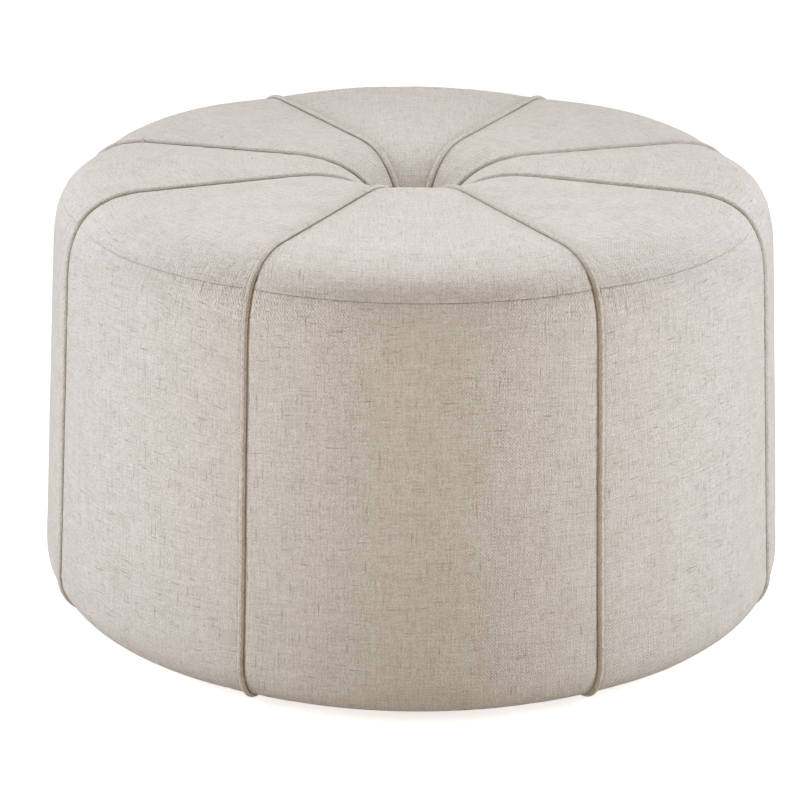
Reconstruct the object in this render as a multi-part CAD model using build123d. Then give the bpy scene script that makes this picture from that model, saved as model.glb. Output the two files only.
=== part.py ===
from build123d import *
from dataclasses import dataclass
import math
import os

# An oval ottoman: a gored, welted cover drawn into a centre tuft, over foam and a timber frame.
# All lengths are in millimetres and all angles in degrees.
# X runs across the ottoman, Y along its longer axis and Z up. The photographed front faces -Y.
# The origin is the middle of the plane that the glides stand on.

# Covered body
body_width = 800.0
body_depth = 980.0
seat_height = 466.0
ground_clearance = 8.0
foot_radius = 42.0
top_edge_radius = 66.0
wall_lean = 14.0
crown_rise = 2.0
roll_radius = 110.0
roll_reach = 125.0
roll_slope = 58.0
tuft_opening_radius = 16.0

# Gores and their seams
gore_count = 8
seam_draw = 1.8
gore_rise = 1.8
stitch_drop = 30.0
cover_thickness = 1.6
cloth_gap = 0.3
underside_wrap = 54.0
welt_radius = 3.2
welt_proud = 1.3
welt_tail = 12.0
seam_channel = 1.6

# Foam
side_pad_thickness = 46.0
top_foam_thickness = 120.0
twine_bore_radius = 8.0

# Frame
skin_thickness = 3.0
frame_gap = 0.3
base_thickness = 18.0
deck_thickness = 15.0
hand_hole_radius = 45.0
post_size = 38.0
post_setback = 3.0

# Screws
screw_radius = 2.2
screw_head_radius = 4.4
screw_head_height = 3.0
screw_length = 50.0
screw_clearance = 0.3

# Centre tuft
button_radius = 19.0
button_rim = 3.0
button_dome = 6.0
eye_radius = 4.0
eye_wire_radius = 1.0
eye_drop = 10.0
twine_radius = 1.0
twine_loop_radius = 4.0
twine_gap = 0.3
anchor_radius = 17.0
anchor_thickness = 3.0
knot_radius = 2.6
knot_length = 4.0

# Underside
dust_cover_inset = 60.0
dust_cover_thickness = 0.8
fixing_inset = 70.0
glide_radius = 12.5
glide_edge = 1.6
glide_azimuths = (-90.0, -45.0, 45.0, 90.0, 135.0, -135.0)
nail_radius = 1.3
nail_head_radius = 4.0
nail_head_height = 1.2
nail_head_depth = 2.4
nail_reach = 12.0
nail_clearance = 0.2
staple_width = 11.0
staple_wire = 1.0
staple_flat = 0.6
staple_leg = 9.0
staple_clearance = 0.15
staple_gore_shares = (-0.36, -0.18, 0.18, 0.36)

# Shares of a gore's width where its sections lie
section_shares = (0.0, 0.25, 0.5, 0.75, 1.0)

# One overrun for every cut, and the distance below which two points are one
overrun = 20.0
same_spot = 0.000001

# Levels and angles that follow
numbers = range(1, gore_count + 1)
gore_angle = 360.0 / gore_count
front_azimuth = -90.0
stitch_level = seat_height - gore_rise - crown_rise - stitch_drop
lining = cover_thickness + cloth_gap
skin_inset = lining + side_pad_thickness + cloth_gap
board_inset = skin_inset + skin_thickness + frame_gap
base_bottom = ground_clearance + lining
base_top = base_bottom + base_thickness
deck_top = seat_height - top_foam_thickness
deck_bottom = deck_top - deck_thickness
dust_cover_bottom = ground_clearance - cloth_gap - dust_cover_thickness
fixing_level = dust_cover_bottom - cloth_gap
roll_end = 90.0 + roll_slope


def cosine(angle):
    return math.cos(math.radians(angle))


def sine(angle):
    return math.sin(math.radians(angle))


def oval_reach(inset, azimuth):
    """Distance from the Z axis to an oval inset from the covered body, at an azimuth."""
    across = cosine(azimuth) / (body_width / 2 - inset)
    along = sine(azimuth) / (body_depth / 2 - inset)
    return 1.0 / math.hypot(across, along)


def oval_normal(inset, azimuth):
    """Direction in which that oval faces, at an azimuth."""
    reach = oval_reach(inset, azimuth)
    across = reach * cosine(azimuth) / (body_width / 2 - inset) ** 2
    along = reach * sine(azimuth) / (body_depth / 2 - inset) ** 2
    return math.degrees(math.atan2(along, across))


def spot(azimuth, reach, level):
    return Vector(reach * cosine(azimuth), reach * sine(azimuth), level)


def lean_at(level):
    """How far the wall has leant in at a level, measured from its foot."""
    low = ground_clearance + foot_radius
    high = seat_height - crown_rise - top_edge_radius
    return wall_lean * (level - low) / (high - low)


@dataclass
class Bend:
    """A round stretch of the body's outline, in a plane through the Z axis."""

    reach: float
    level: float
    radius: float
    start: float = 0.0
    end: float = 0.0

    def at(self, angle, inset=0.0):
        arm = self.radius - inset
        return (self.reach + arm * cosine(angle), self.level + arm * sine(angle))

    def angle_at(self, level, inset=0.0):
        return math.degrees(math.asin((level - self.level) / (self.radius - inset)))


def tangent_angle(first, second):
    """Angle at which a straight run leaves one bend and meets the next."""
    reach = second.reach - first.reach
    rise = second.level - first.level
    turn = math.acos((first.radius - second.radius) / math.hypot(reach, rise))
    heading = 90.0 + math.degrees(math.atan2(-reach, rise))
    return heading - math.degrees(turn)


def body_bends(azimuth, lift):
    """Foot, top edge and roll of the cover. Lift is 0 on a seam and 1 in the middle of a gore."""
    drawn = seam_draw * (1.0 - lift)
    sunk = gore_rise * (1.0 - lift)
    foot = Bend(oval_reach(0, azimuth) - drawn - foot_radius, ground_clearance + foot_radius, foot_radius)
    edge_reach = oval_reach(wall_lean, azimuth) - drawn - top_edge_radius
    edge = Bend(edge_reach, seat_height - crown_rise - sunk - top_edge_radius, top_edge_radius)
    roll = Bend(roll_reach, seat_height - sunk - roll_radius, roll_radius)
    foot.start = -90.0
    foot.end = tangent_angle(foot, edge)
    edge.start = foot.end
    edge.end = tangent_angle(edge, roll)
    roll.start = edge.end
    roll.end = roll_end
    return foot, edge, roll


def wall_point(foot, edge, level, inset):
    """Point of the straight wall at a level."""
    low = foot.at(foot.end, inset)
    high = edge.at(edge.start, inset)
    share = (level - low[1]) / (high[1] - low[1])
    return (low[0] + (high[0] - low[0]) * share, level)


def funnel_point(roll, reach, inset):
    """Point of the straight funnel wall at a distance from the Z axis."""
    begin = roll.at(roll.end, inset)
    fall = (begin[0] - reach) * sine(roll_slope) / cosine(roll_slope)
    return (reach, begin[1] - fall)


class Pen:
    """Draws one section in the plane through the Z axis at an azimuth."""

    def __init__(self, azimuth, first):
        self.azimuth = azimuth
        self.first = first
        self.here = first
        self.edges = []

    def line(self, target):
        if math.dist(self.here, target) > same_spot:
            self.edges.append(Line(spot(self.azimuth, *self.here), spot(self.azimuth, *target)))
        self.here = target

    def bend(self, bend, start, end, inset=0.0):
        self.line(bend.at(start, inset))
        stops = [spot(self.azimuth, *bend.at(angle, inset)) for angle in (start, (start + end) / 2, end)]
        self.edges.append(ThreePointArc(*stops))
        self.here = bend.at(end, inset)

    def face(self):
        self.line(self.first)
        return Face(Wire(self.edges))


def side_panel_section(azimuth, lift):
    foot, edge, roll = body_bends(azimuth, lift)
    turned_in = foot.reach - underside_wrap
    pen = Pen(azimuth, (turned_in, ground_clearance))
    pen.bend(foot, foot.start, foot.end)
    pen.bend(edge, edge.start, edge.angle_at(stitch_level))
    pen.bend(edge, edge.angle_at(stitch_level, cover_thickness), edge.start, cover_thickness)
    pen.bend(foot, foot.end, foot.start, cover_thickness)
    pen.line((turned_in, ground_clearance + cover_thickness))
    return pen.face()


def top_gore_section(azimuth, lift):
    foot, edge, roll = body_bends(azimuth, lift)
    stitch = edge.angle_at(stitch_level)
    pen = Pen(azimuth, edge.at(stitch))
    pen.bend(edge, stitch, edge.end)
    pen.bend(roll, roll.start, roll.end)
    pen.line(funnel_point(roll, tuft_opening_radius, 0))
    pen.line(funnel_point(roll, tuft_opening_radius, cover_thickness))
    pen.bend(roll, roll.end, roll.start, cover_thickness)
    pen.bend(edge, edge.end, edge.angle_at(stitch_level, cover_thickness), cover_thickness)
    return pen.face()


def side_pad_section(azimuth, lift):
    foot, edge, roll = body_bends(azimuth, lift)
    inset = lining + seam_channel * (1.0 - lift)
    bottom = foot.at(foot.start, inset)[1]
    top = deck_top - cloth_gap
    low_back = oval_reach(skin_inset + lean_at(bottom) - cloth_gap, azimuth)
    high_back = oval_reach(skin_inset + lean_at(top) - cloth_gap, azimuth)
    pen = Pen(azimuth, (low_back, bottom))
    pen.bend(foot, foot.start, foot.end, inset)
    pen.line(wall_point(foot, edge, top, inset))
    pen.line((high_back, top))
    return pen.face()


def top_foam_section(azimuth, lift):
    foot, edge, roll = body_bends(azimuth, lift)
    inset = lining + seam_channel * (1.0 - lift)
    pen = Pen(azimuth, (twine_bore_radius, deck_top))
    pen.line(wall_point(foot, edge, deck_top, inset))
    pen.bend(edge, edge.start, edge.end, inset)
    pen.bend(roll, roll.start, roll.end, inset)
    pen.line(funnel_point(roll, twine_bore_radius, inset))
    return pen.face()


def gore_azimuth(number):
    """Azimuth of the middle of a gore. Gore 1 faces the front and the rest follow anticlockwise."""
    return front_azimuth + (number - 1) * gore_angle


def seam_azimuth(number):
    """Azimuth of the seam on the clockwise side of a gore."""
    return gore_azimuth(number) - gore_angle / 2


def gore_loft(number, section):
    """One gore of a soft layer, through sections from seam to seam."""
    faces = []
    for share in section_shares:
        azimuth = seam_azimuth(number) + share * gore_angle
        faces.append(section(azimuth, math.sin(math.pi * share)))
    return loft(faces)


def seam_slab(number):
    """Room for the welt along one seam, from the Z axis outwards."""
    width = 2 * (welt_radius + cloth_gap)
    length = body_depth / 2 + overrun
    slab = Box(length, width, seat_height + 2 * overrun, align=(Align.MIN, Align.CENTER, Align.MIN))
    return Rot(0, 0, seam_azimuth(number)) * Pos(0, 0, -overrun) * slab


def cover_piece(number, section):
    return gore_loft(number, section) - seam_slab(number) - seam_slab(number % gore_count + 1)


def staple_places(number):
    """Places of the staples under one gore, each turned to lie along the edge."""
    places = []
    for share in staple_gore_shares:
        azimuth = gore_azimuth(number) + share * gore_angle
        where = spot(azimuth, oval_reach(fixing_inset, azimuth), fixing_level)
        places.append(Pos(where) * Rot(0, 0, oval_normal(fixing_inset, azimuth) + 90.0))
    return places


def staple():
    crown = Box(staple_width, staple_wire, staple_flat, align=(Align.CENTER, Align.CENTER, Align.MAX))
    leg = Box(staple_flat, staple_wire, staple_leg, align=(Align.CENTER, Align.CENTER, Align.MIN))
    foot_place = staple_width / 2 - staple_flat / 2
    return crown + Pos(foot_place, 0, 0) * leg + Pos(-foot_place, 0, 0) * leg


def staple_slots(number):
    """Slits that the staple legs make in what they hold."""
    slit = Box(
        staple_flat + 2 * staple_clearance,
        staple_wire + 2 * staple_clearance,
        staple_leg + staple_clearance,
        align=(Align.CENTER, Align.CENTER, Align.MIN),
    )
    foot_place = staple_width / 2 - staple_flat / 2
    slots = []
    for place in staple_places(number):
        slots.append(place * Pos(foot_place, 0, 0) * slit)
        slots.append(place * Pos(-foot_place, 0, 0) * slit)
    return slots


def glide_spot(azimuth):
    reach = oval_reach(fixing_inset, azimuth)
    return Pos(reach * cosine(azimuth), reach * sine(azimuth), 0)


def nail_holes():
    hole = Cylinder(
        nail_radius + nail_clearance,
        fixing_level + nail_reach + nail_clearance,
        align=(Align.CENTER, Align.CENTER, Align.MIN),
    )
    return [glide_spot(azimuth) * hole for azimuth in glide_azimuths]


def side_panel(number):
    return cover_piece(number, side_panel_section) - staple_slots(number) - nail_holes()


def welt(number):
    """Corded piping along one seam, from under the foot over the top and into the tuft."""
    azimuth = seam_azimuth(number)
    foot, edge, roll = body_bends(azimuth, 0.0)
    out = -welt_proud
    pen = Pen(azimuth, (foot.reach - welt_tail, foot.at(foot.start, out)[1]))
    pen.bend(foot, foot.start, foot.end, out)
    pen.bend(edge, edge.start, edge.end, out)
    pen.bend(roll, roll.start, roll.end, out)
    pen.line(funnel_point(roll, tuft_opening_radius, out))
    path = Wire(pen.edges)
    start = Plane(origin=path @ 0, z_dir=path % 0)
    return sweep(start * Circle(welt_radius), path=path)


def top_foam():
    """The seat block: crowned gores with a channel under each seam and a funnel for the tuft."""
    block = gore_loft(1, top_foam_section)
    for number in range(2, gore_count + 1):
        block += gore_loft(number, top_foam_section)
    return block


def oval_board(inset, bottom, thickness):
    outline = Ellipse(body_width / 2 - inset, body_depth / 2 - inset)
    return extrude(Pos(0, 0, bottom) * outline, thickness)


def post_place(number):
    """Foot of the post behind one seam, turned to face outwards."""
    azimuth = seam_azimuth(number)
    inset = board_inset + lean_at(deck_top) + post_setback
    reach = oval_reach(inset, azimuth)
    facing = oval_normal(inset, azimuth)
    middle = Pos(reach * cosine(azimuth), reach * sine(azimuth), base_top)
    return middle * Rot(0, 0, facing) * Pos(-post_size / 2, 0, 0)


def screw():
    """Countersunk screw with its head at the origin, pointing down."""
    head = Cone(screw_radius, screw_head_radius, screw_head_height, align=(Align.CENTER, Align.CENTER, Align.MAX))
    shank = Cylinder(screw_radius, screw_length, align=(Align.CENTER, Align.CENTER, Align.MAX))
    return head + shank


def screw_hole():
    wide = screw_radius + screw_clearance
    head = Cone(
        wide,
        screw_head_radius + screw_clearance,
        screw_head_height,
        align=(Align.CENTER, Align.CENTER, Align.MAX),
    )
    shank = Cylinder(wide, screw_length + screw_clearance, align=(Align.CENTER, Align.CENTER, Align.MAX))
    return head + shank


def deck_screw_place(number):
    return post_place(number) * Pos(0, 0, deck_top - base_top)


def base_screw_place(number):
    return post_place(number) * Pos(0, 0, base_bottom - base_top) * Rot(180, 0, 0)


def post(number):
    timber = Box(
        post_size,
        post_size,
        deck_bottom - base_top,
        align=(Align.CENTER, Align.CENTER, Align.MIN),
    )
    placed = post_place(number) * timber
    return placed - deck_screw_place(number) * screw_hole() - base_screw_place(number) * screw_hole()


def base_board():
    board = oval_board(board_inset + lean_at(base_top), base_bottom, base_thickness)
    board -= Pos(0, 0, base_bottom) * Cylinder(hand_hole_radius, 2 * (base_thickness + overrun))
    board -= [base_screw_place(number) * screw_hole() for number in numbers]
    for number in numbers:
        board -= staple_slots(number)
    return board - nail_holes()


def deck_board():
    board = oval_board(board_inset + lean_at(deck_top), deck_bottom, deck_thickness)
    board -= Pos(0, 0, deck_bottom) * Cylinder(twine_bore_radius, 2 * (deck_thickness + overrun))
    return board - [deck_screw_place(number) * screw_hole() for number in numbers]


def leaning_oval(inset):
    """A solid that follows the leaning frame from the base board's foot to the deck's top."""
    faces = []
    for level in (base_bottom, deck_top - cloth_gap):
        shrink = inset + lean_at(level)
        faces.append(Pos(0, 0, level) * Ellipse(body_width / 2 - shrink, body_depth / 2 - shrink))
    return loft(faces)


def side_skins():
    """Bent fibreboard round the frame, in two halves that butt on opposite posts."""
    skin = leaning_oval(skin_inset) - leaning_oval(skin_inset + skin_thickness)
    joint = Box(body_depth + overrun, frame_gap, 2 * seat_height)
    skin -= Rot(0, 0, seam_azimuth(1)) * joint
    right, left = sorted(skin.solids(), key=lambda half: half.center().X, reverse=True)
    return right, left


def button_seat():
    """Level at which the button's underside rests on the welts in the funnel."""
    foot, edge, roll = body_bends(seam_azimuth(1), 0.0)
    return funnel_point(roll, button_radius, -welt_proud - welt_radius - cloth_gap)[1]


def tuft_button():
    """Covered button with the wire eye that the twine pulls on."""
    seat = button_seat()
    rim_level = seat + button_rim
    crown = rim_level + button_dome
    dome_radius = (button_radius ** 2 + button_dome ** 2) / (2 * button_dome)
    half_turn = math.degrees(math.asin(button_radius / dome_radius)) / 2
    shoulder = (dome_radius * sine(half_turn), 0, crown - dome_radius * (1.0 - cosine(half_turn)))
    profile = Wire([
        Line((0, 0, crown), (0, 0, seat)),
        Line((0, 0, seat), (button_radius, 0, seat)),
        Line((button_radius, 0, seat), (button_radius, 0, rim_level)),
        ThreePointArc((button_radius, 0, rim_level), shoulder, (0, 0, crown)),
    ])
    cap = revolve(Face(profile), axis=Axis.Z)
    low = seat - eye_drop + eye_radius
    path = Wire([
        Line((0, -eye_radius, seat + button_rim / 2), (0, -eye_radius, low)),
        ThreePointArc((0, -eye_radius, low), (0, 0, low - eye_radius), (0, eye_radius, low)),
        Line((0, eye_radius, low), (0, eye_radius, seat + button_rim / 2)),
    ])
    eye = sweep(Plane(origin=path @ 0, z_dir=path % 0) * Circle(eye_wire_radius), path=path)
    return cap + eye


def tuft_twine():
    """Doubled twine, looped through the button's eye and knotted under the anchor."""
    eye_bottom = button_seat() - eye_drop
    top = eye_bottom + eye_wire_radius + twine_gap + twine_radius
    shoulder = top - twine_loop_radius
    low = deck_bottom - anchor_thickness
    side = twine_loop_radius
    path = Wire([
        Line((-side, 0, low), (-side, 0, shoulder)),
        ThreePointArc((-side, 0, shoulder), (0, 0, top), (side, 0, shoulder)),
        Line((side, 0, shoulder), (side, 0, low)),
    ])
    twine = sweep(Plane(origin=path @ 0, z_dir=path % 0) * Circle(twine_radius), path=path)
    knot = Cylinder(knot_radius, knot_length, align=(Align.CENTER, Align.CENTER, Align.MAX))
    return twine + Pos(-side, 0, low) * knot + Pos(side, 0, low) * knot


def tuft_anchor():
    """Plate under the deck that the knots pull against."""
    plate = Cylinder(anchor_radius, anchor_thickness, align=(Align.CENTER, Align.CENTER, Align.MAX))
    hole = Cylinder(twine_radius + twine_gap, 2 * (anchor_thickness + overrun))
    plate -= Pos(-twine_loop_radius, 0, 0) * hole
    plate -= Pos(twine_loop_radius, 0, 0) * hole
    return Pos(0, 0, deck_bottom) * plate


def dust_cover():
    sheet = oval_board(dust_cover_inset, dust_cover_bottom, dust_cover_thickness)
    for number in numbers:
        sheet -= staple_slots(number)
    return sheet - nail_holes()


def glide(azimuth):
    """Nylon glide with a rounded sole and a pocket for its nail."""
    disc = Cylinder(glide_radius, fixing_level, align=(Align.CENTER, Align.CENTER, Align.MIN))
    disc = fillet(disc.edges().group_by(Axis.Z)[0], glide_edge)
    return glide_spot(azimuth) * (disc - glide_nail(nail_clearance))


def glide_nail(grow):
    """Nail of a glide at the origin, or with growth the pocket that it sits in."""
    head = Cylinder(
        nail_head_radius + grow,
        nail_head_height + 2 * grow,
        align=(Align.CENTER, Align.CENTER, Align.MIN),
    )
    shank = Cylinder(
        nail_radius + grow,
        fixing_level + nail_reach - nail_head_depth,
        align=(Align.CENTER, Align.CENTER, Align.MIN),
    )
    return Pos(0, 0, nail_head_depth - grow) * head + Pos(0, 0, nail_head_depth) * shank


def group(pieces):
    solids = []
    for piece in pieces:
        solids.extend(piece.solids())
    return Compound(solids)


nodes = {}
for number in numbers:
    nodes[f"top_gore_{number}"] = cover_piece(number, top_gore_section)
    nodes[f"side_panel_{number}"] = side_panel(number)
    nodes[f"welt_{number}"] = welt(number)
    nodes[f"side_pad_{number}"] = gore_loft(number, side_pad_section)
    nodes[f"post_{number}"] = post(number)
nodes["top_foam"] = top_foam()
nodes["base_board"] = base_board()
nodes["deck_board"] = deck_board()
nodes["side_skin_right"], nodes["side_skin_left"] = side_skins()
nodes["tuft_button"] = tuft_button()
nodes["tuft_twine"] = tuft_twine()
nodes["tuft_anchor"] = tuft_anchor()
nodes["dust_cover"] = dust_cover()
for number, azimuth in enumerate(glide_azimuths, 1):
    nodes[f"glide_{number}"] = glide(azimuth)
nodes["glide_nails"] = group(glide_spot(azimuth) * glide_nail(0) for azimuth in glide_azimuths)
nodes["deck_screws"] = group(deck_screw_place(number) * screw() for number in numbers)
nodes["base_screws"] = group(base_screw_place(number) * screw() for number in numbers)
nodes["staples"] = group(place * staple() for number in numbers for place in staple_places(number))

os.makedirs("parts", exist_ok=True)
for name, shape in nodes.items():
    export_step(shape, f"parts/{name}.step")
print(len(nodes), "nodes")
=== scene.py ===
"""Looks of an oval ottoman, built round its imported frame.

A gored, piped linen-look cover is drawn into a centre tuft over foam and a timber frame. Lengths are in metres,
X runs across, Y along the longer axis away from the photographed front, and Z up.
"""

import logging
import math
from dataclasses import dataclass, field
from enum import Enum

import bpy
import numpy as np
from mathutils import Matrix, Vector

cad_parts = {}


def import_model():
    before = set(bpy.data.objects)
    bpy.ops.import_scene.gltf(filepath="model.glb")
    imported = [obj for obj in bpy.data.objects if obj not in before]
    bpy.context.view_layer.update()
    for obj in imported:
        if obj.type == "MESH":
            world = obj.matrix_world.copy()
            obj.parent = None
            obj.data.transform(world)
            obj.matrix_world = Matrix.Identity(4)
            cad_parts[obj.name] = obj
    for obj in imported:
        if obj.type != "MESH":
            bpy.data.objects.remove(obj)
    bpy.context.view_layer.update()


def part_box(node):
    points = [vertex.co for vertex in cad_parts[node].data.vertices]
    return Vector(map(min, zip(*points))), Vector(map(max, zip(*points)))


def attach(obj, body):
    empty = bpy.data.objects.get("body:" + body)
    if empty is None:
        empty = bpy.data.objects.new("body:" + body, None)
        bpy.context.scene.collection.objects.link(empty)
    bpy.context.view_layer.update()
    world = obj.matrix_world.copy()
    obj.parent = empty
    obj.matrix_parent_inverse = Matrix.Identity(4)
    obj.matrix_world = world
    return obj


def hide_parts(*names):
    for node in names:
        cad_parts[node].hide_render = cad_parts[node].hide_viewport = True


log = logging.getLogger("ottoman")

MM = 0.001
FULL_TURN = 2 * math.pi
BODY = "root"
CLOTH_MAP = "cloth"
PAINTED_SHADE_ATTRIBUTE = "painted_shade"

Socket = bpy.types.NodeSocket
Tree = bpy.types.NodeTree


def linear(colour: str, share: float = 1.0) -> tuple[float, float, float, float]:
    """Turns an sRGB hex colour into linear light.

    Args:
        colour: six hex digits.
        share: brightness kept, from 0 to 1.

    Returns:
        Linear red, green, blue and an alpha of 1.
    """
    parts = [int(colour[i : i + 2], 16) / 255 for i in (0, 2, 4)]
    light = [c / 12.92 if c <= 0.04045 else ((c + 0.055) / 1.055) ** 2.4 for c in parts]
    return (light[0] * share, light[1] * share, light[2] * share, 1.0)


def add(tree: Tree, kind: str, sockets: dict | None = None, **settings: object) -> bpy.types.Node:
    """Adds a node with its settings and links.

    Args:
        tree: node tree that the node goes into.
        kind: Blender's type name without its ShaderNode prefix.
        sockets: input name or number to a value, or to the output that feeds it.
        settings: properties of the node.

    Returns:
        The new node.
    """
    node = tree.nodes.new("ShaderNode" + kind)
    for name, value in settings.items():
        setattr(node, name, value)
    for name, value in (sockets or {}).items():
        if isinstance(value, Socket):
            tree.links.new(value, node.inputs[name])
        else:
            node.inputs[name].default_value = value
    return node


def new_material(name: str) -> tuple[bpy.types.Material, Tree, bpy.types.Node]:
    """Starts a material.

    Args:
        name: the material's name.

    Returns:
        The material, its node tree and its output node.
    """
    material = bpy.data.materials.new(name)
    material.use_nodes = True
    tree = material.node_tree
    tree.nodes.clear()
    return material, tree, add(tree, "OutputMaterial")


def seen_rays(tree: Tree) -> Socket:
    """Tells the rays that the camera sees, straight, mirrored or through something clear, from those that light.

    Args:
        tree: node tree that the nodes go into.

    Returns:
        1 for a seen ray and 0 for another.
    """
    path = add(tree, "LightPath")
    seen = add(tree, "Math", {0: path.outputs[0], 1: path.outputs[3]}, operation="MAXIMUM")
    return add(tree, "Math", {0: seen.outputs[0], 1: path.outputs[6]}, operation="MAXIMUM").outputs[0]


def new_object(name: str, points: np.ndarray, faces: list, material: bpy.types.Material) -> bpy.types.Object:
    """Makes a mesh object that shades smoothly.

    Args:
        name: the piece's name.
        points: vertex positions.
        faces: vertex numbers of each face.
        material: its finish.

    Returns:
        The object, linked to the scene.
    """
    mesh = bpy.data.meshes.new(name)
    mesh.from_pydata(points.reshape(-1, 3).tolist(), [], faces)
    mesh.polygons.foreach_set("use_smooth", [True] * len(mesh.polygons))
    mesh.materials.append(material)
    mesh.update()
    piece = bpy.data.objects.new(name, mesh)
    bpy.context.scene.collection.objects.link(piece)
    return piece


def unit(vectors: np.ndarray) -> np.ndarray:
    """Scales vectors to a length of one."""
    return vectors / np.maximum(np.linalg.norm(vectors, axis=-1, keepdims=True), 1e-12)


def ring(count: int) -> np.ndarray:
    """Lists evenly spaced angles round a full turn."""
    return np.linspace(0, FULL_TURN, count, endpoint=False)


def round_points(reach: np.ndarray | float, level: np.ndarray | float, azimuth: np.ndarray) -> np.ndarray:
    """Turns reaches and levels at azimuths into points."""
    return np.stack([reach * np.cos(azimuth), reach * np.sin(azimuth), level + 0 * azimuth], -1)


def run_along(points: np.ndarray) -> np.ndarray:
    """Measures the way to each point along the first axis, from the first point."""
    steps = np.linalg.norm(np.diff(points, axis=0), axis=-1)
    return np.concatenate([0 * steps[:1], np.cumsum(steps, axis=0)])


def grow(distance: np.ndarray, length: float, start: float = 0.0) -> np.ndarray:
    """Grows evenly from 0 at the start to 1 at a length further on."""
    return np.clip((distance - start) / length, 0, 1)


def grid_normals(points: np.ndarray) -> np.ndarray:
    """Finds the outward normals of a grid, with rows up the section and columns anticlockwise round the body."""
    return unit(np.cross(np.gradient(points, axis=1), np.gradient(points, axis=0)))


def grid_faces(rows: int, columns: int, start: int = 0, turned: bool = False) -> list[tuple[int, ...]]:
    """Lists the quads of a grid.

    Args:
        rows: number of rows.
        columns: number of columns.
        start: number of the grid's first vertex.
        turned: whether the faces look the other way.

    Returns:
        Vertex numbers of each quad.
    """
    faces = []
    for i in range(rows - 1):
        for j in range(columns - 1):
            a = start + i * columns + j
            quad = (a, a + 1, a + columns + 1, a + columns)
            faces.append(quad[::-1] if turned else quad)
    return faces


def closed_sheet(outer: np.ndarray, thickness: float) -> tuple[np.ndarray, list]:
    """Gives a grid the thickness of cloth.

    Args:
        outer: points of the outer face.
        thickness: cloth thickness.

    Returns:
        Vertices of both faces, and the faces with their edges closed.
    """
    rows, columns = outer.shape[:2]
    inner = outer - grid_normals(outer) * thickness
    count = rows * columns
    faces = grid_faces(rows, columns) + grid_faces(rows, columns, count, True)
    bottom = list(range(columns))
    right = [i * columns + columns - 1 for i in range(rows)]
    top = [(rows - 1) * columns + j for j in range(columns - 1, -1, -1)]
    left = [i * columns for i in range(rows - 1, -1, -1)]
    for side in (bottom, right, top, left):
        faces.extend((b, a, a + count, b + count) for a, b in zip(side, side[1:]))
    return np.concatenate([outer.reshape(-1, 3), inner.reshape(-1, 3)]), faces


def wheel_mesh(loops: np.ndarray, closed: bool) -> tuple[np.ndarray, list]:
    """Joins closed loops that follow each other into a solid.

    Args:
        loops: one loop of points for each step.
        closed: whether the last loop joins the first.

    Returns:
        Vertices and faces.
    """
    steps, size = loops.shape[:2]
    faces = []
    for i in range(steps if closed else steps - 1):
        here, there = i * size, (i + 1) % steps * size
        for j in range(size):
            k = (j + 1) % size
            faces.append((here + j, there + j, there + k, here + k))
    if not closed:
        faces.append(tuple(range(size)))
        faces.append(tuple((steps - 1) * size + j for j in range(size - 1, -1, -1)))
    return loops.reshape(-1, 3), faces


def map_cloth(piece: bpy.types.Object, cloth: np.ndarray, painted_shade: np.ndarray) -> None:
    """Lays the weave on a piece.

    Args:
        piece: the piece.
        cloth: place of each vertex on the flat cloth, in metres.
        painted_shade: strength of the shade painted at each vertex, in creases and pleats, from 0 to 1.
    """
    mesh = piece.data
    layer = mesh.uv_layers.new(name=CLOTH_MAP)
    corners = np.zeros(len(mesh.loops), int)
    mesh.loops.foreach_get("vertex_index", corners)
    layer.data.foreach_set("uv", cloth.reshape(-1, 2)[corners].ravel())
    mesh.attributes.new(PAINTED_SHADE_ATTRIBUTE, "FLOAT", "POINT").data.foreach_set("value", painted_shade.ravel())


def dress(material: bpy.types.Material, *nodes: str) -> None:
    """Gives carried-over frame nodes a finish.

    Args:
        material: the finish.
        nodes: names of the nodes.
    """
    for name in nodes:
        mesh = bpy.data.objects[name].data
        mesh.materials.clear()
        mesh.materials.append(material)
        log.info("%s dressed in %s", name, material.name)


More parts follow.
